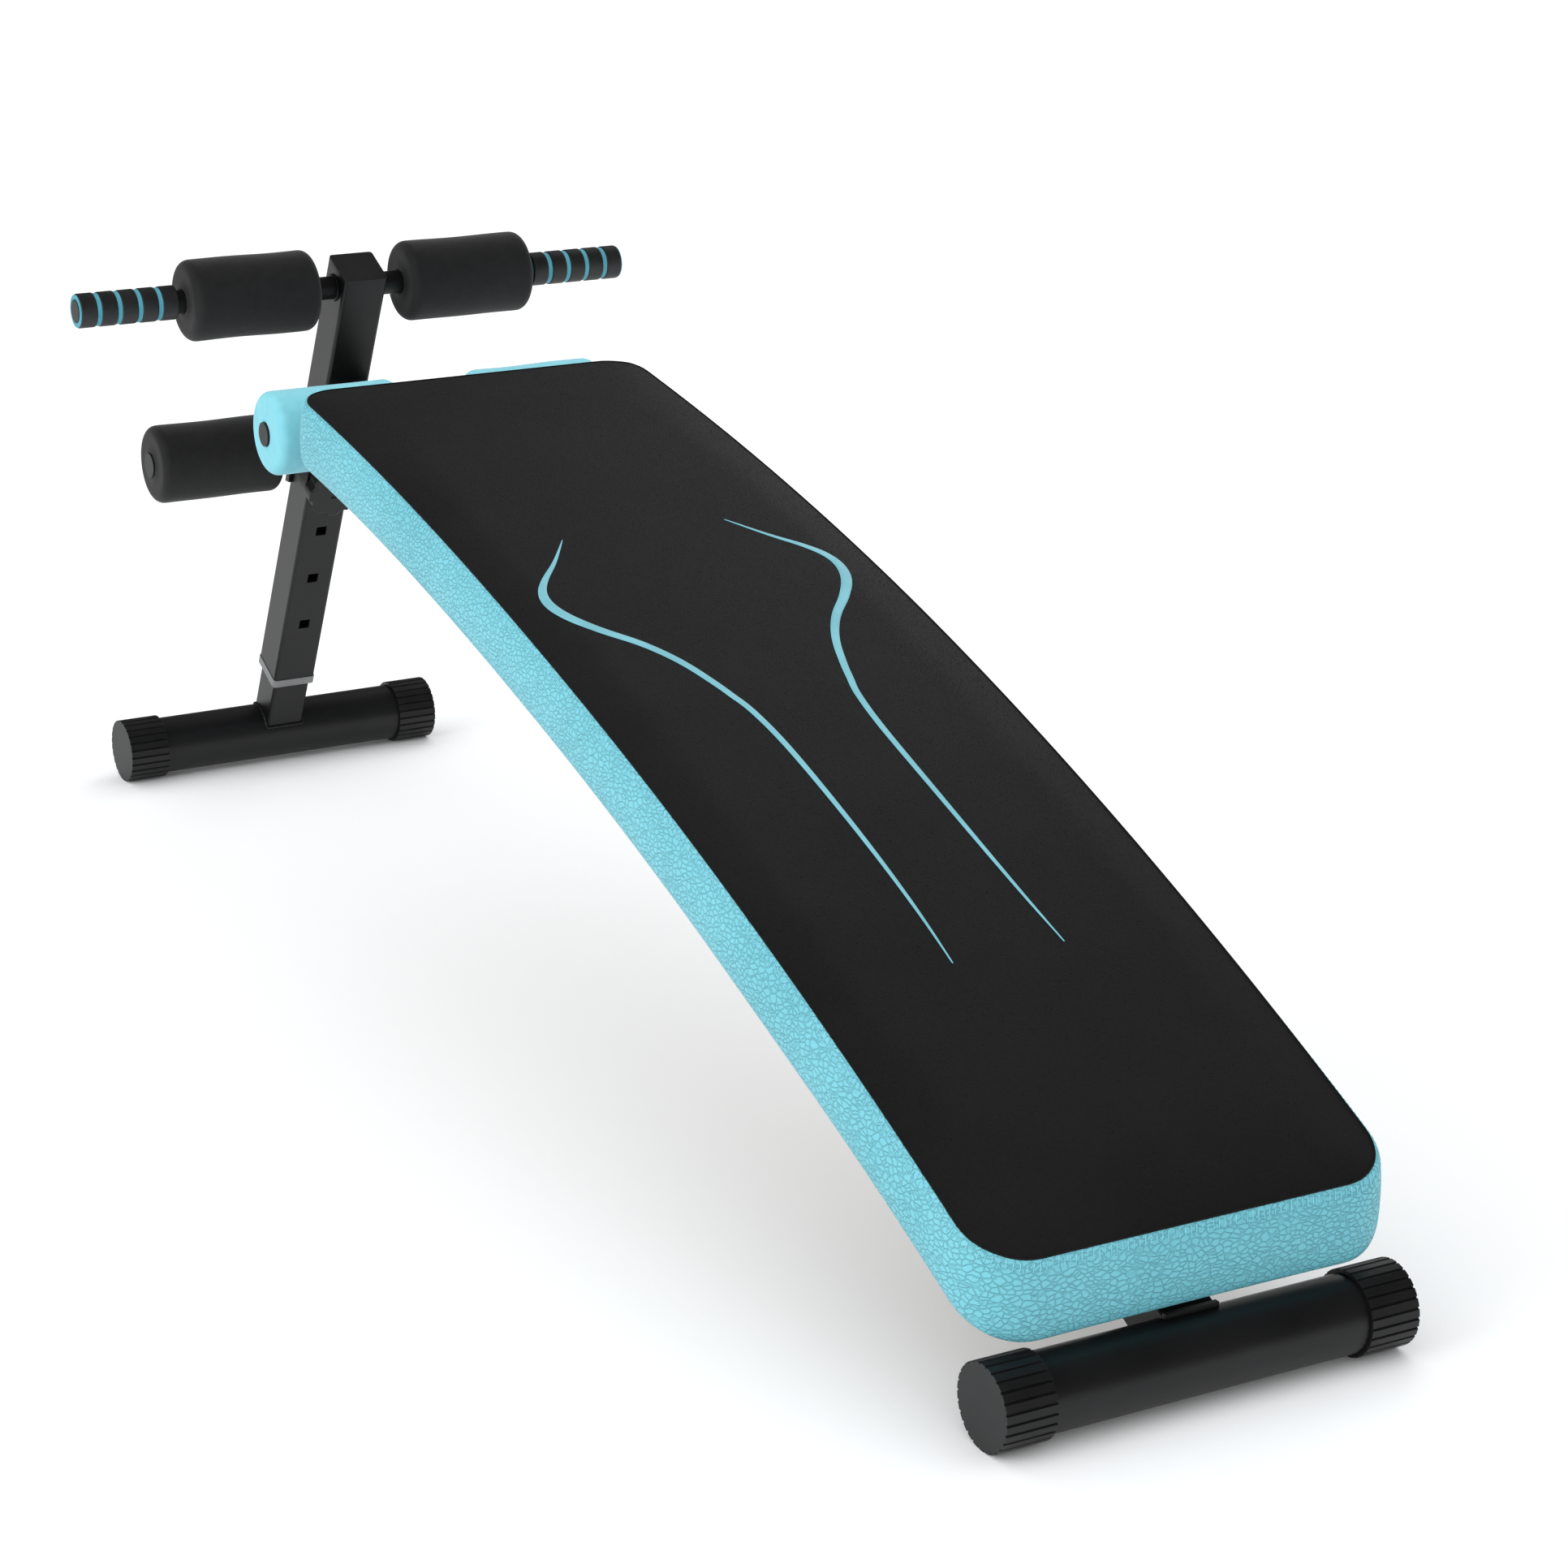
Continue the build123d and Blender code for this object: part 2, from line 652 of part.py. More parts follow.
def pad_plates():
    """Flat steel plates across the beam that the board is screwed to."""
    plates = []
    for slope in station_slopes():
        half_turn = degrees(pad_plate_run / 2 / pad_radius)
        depth = pad_thickness - pad_plate_thickness / 2
        section = Rectangle(pad_plate_width, pad_plate_thickness - 2 * contact_gap)
        start = arc_plane(slope + half_turn, depth)
        plate = revolve(start * section, axis=arc_axis, revolution_arc=2 * half_turn)
        for plane, x in screw_places():
            hole = plane * Pos(x, 0) * Circle(screw_d / 2 + 0.3)
            plate -= extrude(hole, amount=2 * pad_plate_thickness, both=True)
        plates.append(plate)
    return plates


def pad_screws():
    """Pan-head wood screws from below into the board."""
    screws = []
    for plane, x in screw_places():
        spot = plane * Pos(x, 0)
        shank = extrude(spot * Circle(screw_d / 2), amount=pad_plate_thickness + screw_bite)
        head = extrude(spot * Circle(screw_head_d / 2), amount=-screw_head_height)
        head = fillet(head.faces().sort_by(Axis((0, 0, 0), plane.z_dir))[0].edges(), 1.2)
        screws.append(head + shank)
    return screws


# ---------------------------------------------------------------- write every node
def main():
    os.makedirs("parts", exist_ok=True)
    for end, y in (("front", front_y), ("rear", rear_y)):
        save(foot_tube(y), f"{end}_foot_tube")
        save(foot_cap(y, -1), f"{end}_cap_left")
        save(foot_cap(y, 1), f"{end}_cap_right")
    save(leg_tube(), "leg_tube")
    save(leg_glide(), "leg_glide")
    save(post_tube(), "post_tube")
    save(post_top_cap(), "post_top_cap")
    save(post_bushing(), "post_bushing")
    save(knob_washer(), "knob_washer")
    save(star_knob(), "star_knob")
    save(knob_insert(), "knob_insert")
    save(knob_stud(), "knob_stud")
    save(clamp_nut(), "clamp_nut")
    save(main_beam(), "main_beam")
    save(beam_front_cap(), "beam_front_cap")
    save(post_bracket(), "post_bracket")
    save(bracket_bolts(), "bracket_bolts")
    save(bracket_nuts(), "bracket_nuts")
    save(bracket_washers(), "bracket_washers")
    save(ankle_bar_lugs(), "ankle_bar_lugs")
    save(cross_bar(handlebar_half, handlebar_y, handlebar_z), "handlebar")
    save(handlebar_plugs(), "handlebar_plugs")
    save(cross_bar(roller_bar_half(), lower_bar_y, lower_bar_z), "ankle_bar")
    save(bar_plugs(roller_bar_half(), lower_bar_y, lower_bar_z, ankle_plug_d), "ankle_bar_plugs")
    save(cross_bar(roller_bar_half(), knee_bar_y, knee_bar_z), "knee_bar")
    save(bar_plugs(roller_bar_half(), knee_bar_y, knee_bar_z, knee_plug_d), "knee_bar_plugs")
    rollers = (
        ("upper", upper_roller_inner, handlebar_y, handlebar_z),
        ("ankle", low_roller_inner, lower_bar_y, lower_bar_z),
        ("knee", low_roller_inner, knee_bar_y, knee_bar_z),
    )
    for side, word in ((-1, "left"), (1, "right")):
        for kind, inner, y, z in rollers:
            save(foam_roller(side, inner, y, z), f"{kind}_roller_{word}")
            save(roller_sleeve(side, inner, y, z), f"{kind}_sleeve_{word}")
        save(grip_core(side), f"grip_core_{word}")
        save(grip_band_rings(side), f"grip_bands_{word}")
    save(pad_top_panel(), "pad_top_panel")
    save(pad_cushion(), "pad_cushion")
    save(pad_board(), "pad_board")
    save(pad_plates(), "pad_plates")
    save(pad_screws(), "pad_screws")


main()
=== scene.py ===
import json
import math
import random

import bmesh
import bpy
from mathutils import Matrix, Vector
from mathutils.bvhtree import BVHTree


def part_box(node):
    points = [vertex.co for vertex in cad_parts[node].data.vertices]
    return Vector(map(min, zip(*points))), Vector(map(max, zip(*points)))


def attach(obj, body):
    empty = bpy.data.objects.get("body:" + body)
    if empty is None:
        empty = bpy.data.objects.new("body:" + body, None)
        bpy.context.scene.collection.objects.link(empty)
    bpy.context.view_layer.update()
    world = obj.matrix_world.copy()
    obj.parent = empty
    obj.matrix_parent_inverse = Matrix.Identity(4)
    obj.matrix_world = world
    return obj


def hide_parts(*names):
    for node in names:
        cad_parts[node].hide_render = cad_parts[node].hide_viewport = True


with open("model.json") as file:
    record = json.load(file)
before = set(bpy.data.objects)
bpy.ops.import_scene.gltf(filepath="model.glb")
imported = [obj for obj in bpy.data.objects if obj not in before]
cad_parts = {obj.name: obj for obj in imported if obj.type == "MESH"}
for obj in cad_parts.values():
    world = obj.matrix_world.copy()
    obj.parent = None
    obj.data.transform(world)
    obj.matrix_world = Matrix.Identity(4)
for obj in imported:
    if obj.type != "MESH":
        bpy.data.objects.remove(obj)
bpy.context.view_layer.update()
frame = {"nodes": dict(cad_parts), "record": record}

MM = 0.001
nodes = frame["nodes"]


# ---------------------------------------------------------------- colours and nodes
def linear(code):
    """sRGB hex code to linear RGBA."""
    channels = [int(code[i:i + 2], 16) / 255 for i in (1, 3, 5)]
    return tuple(c / 12.92 if c <= 0.04045 else ((c + 0.055) / 1.055) ** 2.4 for c in channels) + (1.0,)


def add(tree, kind, inputs=None, links=None, **settings):
    """Adds a node; settings are its attributes, inputs its socket values, links its incoming sockets."""
    made = tree.nodes.new(kind)
    for key, value in settings.items():
        setattr(made, key, value)
    for key, value in (inputs or {}).items():
        made.inputs[key].default_value = value
    for key, source in (links or {}).items():
        tree.links.new(source, made.inputs[key])
    return made


def start_finish(name, roughness, ior=1.5, metallic=0.0):
    """A new material with its shader; returns the material, its tree, the shader and object coordinates."""
    material = bpy.data.materials.new(name)
    material.use_nodes = True
    tree = material.node_tree
    shader = tree.nodes["Principled BSDF"]
    shader.inputs["Roughness"].default_value = roughness
    shader.inputs["Metallic"].default_value = metallic
    if not metallic:
        shader.inputs["IOR"].default_value = ior
    place = add(tree, "ShaderNodeTexCoord").outputs["Object"]
    return material, tree, shader, place


def mottle(tree, place, size_mm, low, high, detail=3.0):
    """Two tones of one colour that change over patches of this size; returns the colour socket."""
    cloud = add(tree, "ShaderNodeTexNoise", {"Scale": 1 / (size_mm * MM), "Detail": detail},
                {"Vector": place})
    ramp = add(tree, "ShaderNodeValToRGB", links={"Fac": cloud.outputs["Fac"]})
    ramp.color_ramp.elements[0].position = 0.35
    ramp.color_ramp.elements[0].color = linear(low)
    ramp.color_ramp.elements[1].position = 0.65
    ramp.color_ramp.elements[1].color = linear(high)
    return ramp.outputs["Color"]


# ---------------------------------------------------------------- finishes
def powder_coat():
    """Black powder coat on steel: even black, satin gloss, faint orange peel."""
    material, tree, shader, place = start_finish("black_powder_coat", 0.38, ior=1.40)
    tree.links.new(mottle(tree, place, 60, "#0b0b0c", "#111112"), shader.inputs["Base Color"])
    peel = add(tree, "ShaderNodeTexNoise", {"Scale": 1 / (1.8 * MM), "Detail": 2.0}, {"Vector": place})
    gloss = add(tree, "ShaderNodeMapRange", {"To Min": 0.34, "To Max": 0.44}, {"Value": peel.outputs["Fac"]})
    tree.links.new(gloss.outputs["Result"], shader.inputs["Roughness"])
    # the coat rounds every cut edge
    soft = add(tree, "ShaderNodeBevel", {"Radius": 0.7 * MM})
    bump = add(tree, "ShaderNodeBump", {"Strength": 0.25, "Distance": 0.12 * MM},
               {"Height": peel.outputs["Fac"], "Normal": soft.outputs["Normal"]})
    tree.links.new(bump.outputs["Normal"], shader.inputs["Normal"])
    return material


def moulded_plastic(name, low, high, roughness):
    """Injection-moulded polypropylene: fine spark-eroded grain, low gloss."""
    material, tree, shader, place = start_finish(name, roughness, ior=1.42)
    tree.links.new(mottle(tree, place, 25, low, high), shader.inputs["Base Color"])
    # real grain is about 0.1 mm; drawn at 0.5 mm so that it shows
    grain = add(tree, "ShaderNodeTexNoise", {"Scale": 1 / (0.5 * MM), "Detail": 3.0}, {"Vector": place})
    gloss = add(tree, "ShaderNodeMapRange", {"To Min": roughness - 0.06, "To Max": roughness + 0.08},
                {"Value": grain.outputs["Fac"]})
    tree.links.new(gloss.outputs["Result"], shader.inputs["Roughness"])
    soft = add(tree, "ShaderNodeBevel", {"Radius": 0.5 * MM})
    bump = add(tree, "ShaderNodeBump", {"Strength": 0.3, "Distance": 0.08 * MM},
               {"Height": grain.outputs["Fac"], "Normal": soft.outputs["Normal"]})
    tree.links.new(bump.outputs["Normal"], shader.inputs["Normal"])
    return material


def zinc_plate(name, low, high):
    """Bright zinc on steel fasteners: cool grey metal with faint cloudy patches."""
    material, tree, shader, place = start_finish(name, 0.32, metallic=1.0)
    tree.links.new(mottle(tree, place, 4, low, high), shader.inputs["Base Color"])
    cloud = add(tree, "ShaderNodeTexNoise", {"Scale": 1 / (1.5 * MM), "Detail": 4.0}, {"Vector": place})
    gloss = add(tree, "ShaderNodeMapRange", {"To Min": 0.24, "To Max": 0.42}, {"Value": cloud.outputs["Fac"]})
    tree.links.new(gloss.outputs["Result"], shader.inputs["Roughness"])
    return material


def foam(name, low, high, pore_depth):
    """Closed-cell NBR foam with its moulded skin: soft, matte, finely pitted."""
    material, tree, shader, place = start_finish(name, 0.78, ior=1.45)
    tree.links.new(mottle(tree, place, 9, low, high, detail=6.0), shader.inputs["Base Color"])
    shader.inputs["Sheen Weight"].default_value = 0.12
    shader.inputs["Sheen Roughness"].default_value = 0.4
    # real cells are about 0.4 mm; drawn at 1.1 mm so that they show
    cells = add(tree, "ShaderNodeTexVoronoi", {"Scale": 1 / (1.1 * MM)}, {"Vector": place})
    lumps = add(tree, "ShaderNodeTexNoise", {"Scale": 1 / (14 * MM), "Detail": 4.0}, {"Vector": place})
    pits = add(tree, "ShaderNodeBump", {"Strength": 0.5, "Distance": pore_depth * MM},
               {"Height": cells.outputs["Distance"]})
    soft = add(tree, "ShaderNodeBump", {"Strength": 0.2, "Distance": 0.5 * MM},
               {"Height": lumps.outputs["Fac"], "Normal": pits.outputs["Normal"]})
    tree.links.new(soft.outputs["Normal"], shader.inputs["Normal"])
    return material


def rubber(name, low, high):
    """Moulded rubber grip: matte, slightly dusty."""
    material, tree, shader, place = start_finish(name, 0.55, ior=1.52)
    tree.links.new(mottle(tree, place, 12, low, high), shader.inputs["Base Color"])
    skin = add(tree, "ShaderNodeTexNoise", {"Scale": 1 / (0.6 * MM), "Detail": 3.0}, {"Vector": place})
    gloss = add(tree, "ShaderNodeMapRange", {"To Min": 0.46, "To Max": 0.64}, {"Value": skin.outputs["Fac"]})
    tree.links.new(gloss.outputs["Result"], shader.inputs["Roughness"])
    bump = add(tree, "ShaderNodeBump", {"Strength": 0.3, "Distance": 0.08 * MM},
               {"Height": skin.outputs["Fac"]})
    tree.links.new(bump.outputs["Normal"], shader.inputs["Normal"])
    return material


def vinyl(name, low, high, grain_mm, depth_mm, roughness):
    """Embossed upholstery vinyl: pebbles between creases, satin on the pebbles and duller in the creases."""
    material, tree, shader, place = start_finish(name, roughness, ior=1.42)
    # the creases wander, and the pebbles lie wider than they are tall
    warp = add(tree, "ShaderNodeTexNoise", {"Scale": 1 / (grain_mm * 2.2 * MM), "Detail": 2.0},
               {"Vector": place})
    centred = add(tree, "ShaderNodeVectorMath", {1: (0.5, 0.5, 0.5)}, {0: warp.outputs["Color"]},
                  operation="SUBTRACT")
    shift = add(tree, "ShaderNodeVectorMath", {"Scale": grain_mm * 1.1 * MM}, {0: centred.outputs[0]},
                operation="SCALE")
    moved = add(tree, "ShaderNodeVectorMath", links={0: place, 1: shift.outputs[0]}, operation="ADD")
    flat = add(tree, "ShaderNodeVectorMath", {1: (1.0, 1.0, 1.6)}, {0: moved.outputs[0]},
               operation="MULTIPLY")
    crease = add(tree, "ShaderNodeTexVoronoi", {"Scale": 1 / (grain_mm * MM), "Randomness": 1.0},
                 {"Vector": flat.outputs[0]}, feature="DISTANCE_TO_EDGE")
    pebble = add(tree, "ShaderNodeMapRange", {"From Max": 0.13}, {"Value": crease.outputs["Distance"]},
                 interpolation_type="SMOOTHSTEP").outputs["Result"]
    fine = add(tree, "ShaderNodeTexNoise", {"Scale": 1 / (grain_mm * 0.3 * MM), "Detail": 3.0},
               {"Vector": place})
    patches = mottle(tree, place, 90, low, high)
    # painted shade: the base colour is made up to a tenth darker in the creases
    shade = add(tree, "ShaderNodeMapRange", {"To Min": 0.90, "To Max": 1.0}, {"Value": pebble})
    painted_crease_shade_colour = add(tree, "ShaderNodeVectorMath", links={0: patches, "Scale": shade.outputs["Result"]},
                  operation="SCALE")
    tree.links.new(painted_crease_shade_colour.outputs[0], shader.inputs["Base Color"])
    gloss = add(tree, "ShaderNodeMapRange", {"To Min": roughness + 0.12, "To Max": roughness - 0.03},
                {"Value": pebble})
    tree.links.new(gloss.outputs["Result"], shader.inputs["Roughness"])
    broad = add(tree, "ShaderNodeBump", {"Strength": 0.8, "Distance": depth_mm * MM}, {"Height": pebble})
    skin = add(tree, "ShaderNodeBump", {"Strength": 0.3, "Distance": depth_mm * 0.3 * MM},
               {"Height": fine.outputs["Fac"], "Normal": broad.outputs["Normal"]})
    tree.links.new(skin.outputs["Normal"], shader.inputs["Normal"])
    return material


def plywood():
    """Raw poplar plywood: pale, straight grain along the board."""
    material, tree, shader, place = start_finish("poplar_plywood", 0.7)
    stretch = add(tree, "ShaderNodeMapping", {"Scale": (1.0, 0.06, 1.0)}, {"Vector": place})
    grain = add(tree, "ShaderNodeTexNoise", {"Scale": 1 / (2.5 * MM), "Detail": 6.0, "Roughness": 0.65},
                {"Vector": stretch.outputs["Vector"]})
    ramp = add(tree, "ShaderNodeValToRGB", links={"Fac": grain.outputs["Fac"]})
    ramp.color_ramp.elements[0].position = 0.3
    ramp.color_ramp.elements[0].color = linear("#7d6b55")
    ramp.color_ramp.elements[1].position = 0.7
    ramp.color_ramp.elements[1].color = linear("#a3907a")
    tree.links.new(ramp.outputs["Color"], shader.inputs["Base Color"])
    bump = add(tree, "ShaderNodeBump", {"Strength": 0.3, "Distance": 0.1 * MM},
               {"Height": grain.outputs["Fac"]})
    tree.links.new(bump.outputs["Normal"], shader.inputs["Normal"])
    return material


def thread():
    """Spun polyester sewing thread: soft pale blue, matte."""
    material, tree, shader, place = start_finish("polyester_thread", 0.8)
    tree.links.new(mottle(tree, place, 2, "#6cb2c1", "#86c9d6"), shader.inputs["Base Color"])
    return material


def printed_film():
    """Printed vinyl film on the pad: flat pale blue ink, a little gloss."""
    material, tree, shader, place = start_finish("printed_blue_film", 0.45)
    tree.links.new(mottle(tree, place, 30, "#66a9b7", "#70b3c0"), shader.inputs["Base Color"])
    skin = add(tree, "ShaderNodeTexNoise", {"Scale": 1 / (0.9 * MM), "Detail": 3.0}, {"Vector": place})
    bump = add(tree, "ShaderNodeBump", {"Strength": 0.35, "Distance": 0.08 * MM},
               {"Height": skin.outputs["Fac"]})
    tree.links.new(bump.outputs["Normal"], shader.inputs["Normal"])
    return material


finish = {
    "black_paint": powder_coat(),
    "black_plastic": moulded_plastic("black_polypropylene", "#0d0d0e", "#131314", 0.46),
    "grey_plastic": moulded_plastic("grey_nylon", "#6f7172", "#7b7d7e", 0.45),
    "zinc_steel": zinc_plate("bright_zinc", "#a9adb0", "#c3c6c8"),
    "black_foam": foam("black_nbr_foam", "#101011", "#141415", 0.18),
    "cyan_foam": foam("cyan_nbr_foam", "#72bac8", "#79c0cd", 0.1),
    "black_rubber": rubber("black_rubber", "#121213", "#1a1a1b"),
    "cyan_rubber": rubber("cyan_rubber", "#3a8b9e", "#4495a7"),
    "black_vinyl": vinyl("black_fine_vinyl", "#0b0b0c", "#0f0f10", 1.7, 0.2, 0.60),
    "cyan_vinyl": vinyl("cyan_coarse_vinyl", "#66b2c0", "#6cb8c6", 5.6, 0.9, 0.48),
    "plywood": plywood(),
}
thread_finish = thread()
film_finish = printed_film()


# ---------------------------------------------------------------- pieces
def make_piece(name, mesh, material, body="frame"):
    """Puts a bmesh or mesh into the scene as a piece that rides on a body."""
    if isinstance(mesh, bmesh.types.BMesh):
        data = bpy.data.meshes.new(name)
        mesh.normal_update()
        mesh.to_mesh(data)
        mesh.free()
        mesh = data
    piece = bpy.data.objects.new(name, mesh)
    bpy.context.scene.collection.objects.link(piece)
    mesh.materials.clear()
    mesh.materials.append(material)
    mesh.polygons.foreach_set("use_smooth", [True] * len(mesh.polygons))
    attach(piece, body)
    return piece


def lathe(profile, centre_y, centre_z, segments=96, wobble=None):
    """Closed surface turned about X from (x, radius) points."""
    form = bmesh.new()
    rings = []
    for x, radius in profile:
        ring = []
        for i in range(segments):
            turn = 2 * math.pi * i / segments
            r = radius + (wobble(x, turn) if wobble else 0)
            ring.append(form.verts.new((x, centre_y + r * math.cos(turn), centre_z + r * math.sin(turn))))
        rings.append(ring)
    for a, b in zip(rings, rings[1:] + rings[:1]):
        for i in range(segments):
            j = (i + 1) % segments
            form.faces.new((a[i], a[j], b[j], b[i]))
    bmesh.ops.recalc_face_normals(form, faces=form.faces)
    return form


def tube_along(form, points, radius_at, sides=8, closed=False):
    """Adds a tube through these points to the form; radius_at gives its radius at each point."""
    rings = []
    count = len(points)
    for i, point in enumerate(points):
        if closed:
            ahead, behind = points[(i + 1) % count], points[i - 1]
        else:
            ahead, behind = points[min(i + 1, count - 1)], points[max(i - 1, 0)]
        along = (ahead - behind).normalized()
        across = along.cross(Vector((0.0, 0.0, 1.0)))
        if across.length < 0.2:
            across = along.cross(Vector((1.0, 0.0, 0.0)))
        across.normalize()
        up = across.cross(along)
        radius = radius_at(i)
        rings.append([
            form.verts.new(point + radius * (math.cos(2 * math.pi * k / sides) * across
                                             + math.sin(2 * math.pi * k / sides) * up))
            for k in range(sides)])
    pairs = list(zip(rings, rings[1:]))
    if closed:
        pairs.append((rings[-1], rings[0]))
    for a, b in pairs:
        for k in range(sides):
            m = (k + 1) % sides
            form.faces.new((a[k], a[m], b[m], b[k]))
    if not closed:
        form.faces.new(rings[0][::-1])
        form.faces.new(rings[-1])


# ---------------------------------------------------------------- pad
def panel_arc():
    """Centre (y, z), radius and end angles of the arc that the CAD top panel's upper face follows."""
    points = [v.co for v in nodes["pad_top_panel"].data.vertices]
    low = min(points, key=lambda p: (round(p.y, 4), -p.z))
    high = max(points, key=lambda p: p.z)
    chord = Vector((high.y - low.y, high.z - low.z)).normalized()
    rise = Vector((-chord.y, chord.x))
    middle = max(points, key=lambda p: rise.dot(Vector((p.y - low.y, p.z - low.z))))
    a, b, c = [Vector((p.y, p.z)) for p in (low, middle, high)]
    d = 2 * (a.x * (b.y - c.y) + b.x * (c.y - a.y) + c.x * (a.y - b.y))
    aa, bb, cc = a.dot(a), b.dot(b), c.dot(c)
    centre = Vector((
        (aa * (b.y - c.y) + bb * (c.y - a.y) + cc * (a.y - b.y)) / d,
        (aa * (c.x - b.x) + bb * (a.x - c.x) + cc * (b.x - a.x)) / d))
    return centre, (a - centre).length, a, c


arc_centre, arc_radius, arc_low, arc_high = panel_arc()
arc_from = math.atan2(arc_low.y - arc_centre.y, arc_low.x - arc_centre.x)
arc_to = math.atan2(arc_high.y - arc_centre.y, arc_high.x - arc_centre.x)
panel_length = (arc_from - arc_to) * arc_radius
cushion_low, cushion_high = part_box("pad_cushion")
# how the sewn cover differs from a plain bent slab
seam_inset_low = 2.8 * MM
seam_inset_high = 1 * MM
seam_length = panel_length - seam_inset_low - seam_inset_high
seam_half = (cushion_high.x - cushion_low.x) / 2 - 2.6 * MM
seam_narrowing = 3 * MM
seam_corner_low = 39 * MM
seam_corner_high = 31 * MM
thin_length = 330 * MM
thin_share = 0.09
end_length = 160 * MM
end_reach = 0.42
crown_height = 1.6 * MM
crown_edge = 40 * MM
vinyl_thickness = 1.2 * MM
swelling = 2.6 * MM
swelling_frames = 20


def on_pad(s, x, depth):
    """Point s along the pad from the seam's low end, x across and this deep under its arc.
    The cushion narrows a little towards the high end. At the low end it is thinner and its face upright."""
    end = min(1.0, max(0.0, 1 - s / end_length))
    upright = end_reach * depth * end * end * (3 - 2 * end)
    angle = arc_from - (s - upright + seam_inset_low) / arc_radius
    far = min(1.0, max(0.0, s / seam_length * 2.2 - 1.2))
    near = min(1.0, max(0.0, 1 - s / thin_length))
    x *= 1 - seam_narrowing / seam_half * far * far * (3 - 2 * far)
    radius = arc_radius - depth * (1 - thin_share * near * near * (3 - 2 * near))
    return Vector((x, arc_centre.x + radius * math.cos(angle), arc_centre.y + radius * math.sin(angle)))


def pad_up(s):
    """Direction straight out of the pad's top."""
    angle = arc_from - (s + seam_inset_low) / arc_radius
    return Vector((0.0, math.cos(angle), math.sin(angle)))


def rounded_plan(u, v, half_u, half_v):
    """Maps a point of a rectangle to the same rectangle with round corners, wider at the low end."""
    corner = seam_corner_low if u < 0 else seam_corner_high
    du = (abs(u) - (half_u - corner)) / corner
    dv = (abs(v) - (half_v - corner)) / corner
    if du <= 0 or dv <= 0:
        return u, v
    du, dv = du * math.sqrt(1 - dv * dv / 2), dv * math.sqrt(1 - du * du / 2)
    return (math.copysign(half_u - corner + corner * du, u), math.copysign(half_v - corner + corner * dv, v))


def steps(half, corner, pitch, corner_steps=8):
    """Grid lines from -half to half, finer in the corners."""
    inner = half - corner
    count = max(2, round(2 * inner / pitch))
    lines = [-inner + 2 * inner * i / count for i in range(count + 1)]
    outer = [inner + corner * math.sin(math.pi / 2 * i / corner_steps) for i in range(1, corner_steps + 1)]
    return [-t for t in reversed(outer)] + lines + outer


# outward from the seam, depth under the arc and extra turn-under at the low end, in mm,
# from the seam round to the hem on the board
SIDE_PROFILE = ((1.9, 0.9, 0), (3.6, 3.6, 0), (4.8, 9.0, 0), (5.4, 16.0, 0), (5.6, 23.0, 0), (5.6, 30.0, 0),
                (5.4, 37.0, 0), (4.9, 43.5, 0), (3.7, 49.5, 0), (1.4, 54.2, 0), (-2.4, 57.2, 0),
                (-7.0, 58.2, 11.0), (-14.0, 58.0, 30.0))


def cushion_cover():
    """Closed cover in quads: top, sides and a turned-under hem; returns it with its seam and side faces."""
    form = bmesh.new()
    half_s, half_x = seam_length / 2, seam_half
    lines_s = steps(half_s, seam_corner_low, 8 * MM)
    lines_x = steps(half_x, seam_corner_low, 8 * MM)
    grid = []
    for u in lines_s:
        row = []
        for v in lines_x:
            s, x = rounded_plan(u, v, half_s, half_x)
            row.append(form.verts.new(on_pad(s + half_s, x, 0)))
        grid.append(row)
    for i in range(len(lines_s) - 1):
        for j in range(len(lines_x) - 1):
            form.faces.new((grid[i][j], grid[i + 1][j], grid[i + 1][j + 1], grid[i][j + 1]))
    last_s, last_x = len(lines_s) - 1, len(lines_x) - 1
    rim = [(i, 0) for i in range(last_s)] + [(last_s, j) for j in range(last_x)]
    rim += [(i, last_x) for i in range(last_s, 0, -1)] + [(0, j) for j in range(last_x, 0, -1)]
    flat = [rounded_plan(lines_s[i], lines_x[j], half_s, half_x) for i, j in rim]
    seam = [grid[i][j] for i, j in rim]
    count = len(rim)
    outward = []
    for k in range(count):
        (s0, x0), (s1, x1) = flat[k - 1], flat[(k + 1) % count]
        normal = Vector((x0 - x1, s1 - s0)).normalized() * -1
        if normal.x * flat[k][0] + normal.y * flat[k][1] < 0:
            normal = -normal
        outward.append(normal)
    layer = form.faces.layers.int.new("part")
    previous = seam
    for out, depth, tuck in SIDE_PROFILE:
        ring = []
        for k in range(count):
            s = flat[k][0] + (outward[k].x * out + tuck * max(0.0, -outward[k].x)) * MM
            x = flat[k][1] + outward[k].y * out * MM
            ring.append(form.verts.new(on_pad(s + half_s, x, depth * MM)))
        for k in range(count):
            m = (k + 1) % count
            face = form.faces.new((previous[k], previous[m], ring[m], ring[k]))
            face[layer] = 1
        previous = ring
    under = form.faces.new(previous)
    under[layer] = 2
    bmesh.ops.recalc_face_normals(form, faces=form.faces)
    form.verts.index_update()
    held = [v.index for v in seam] + [v.index for v in previous]
    seam_indices = [v.index for v in seam]
    return form, seam_indices, held


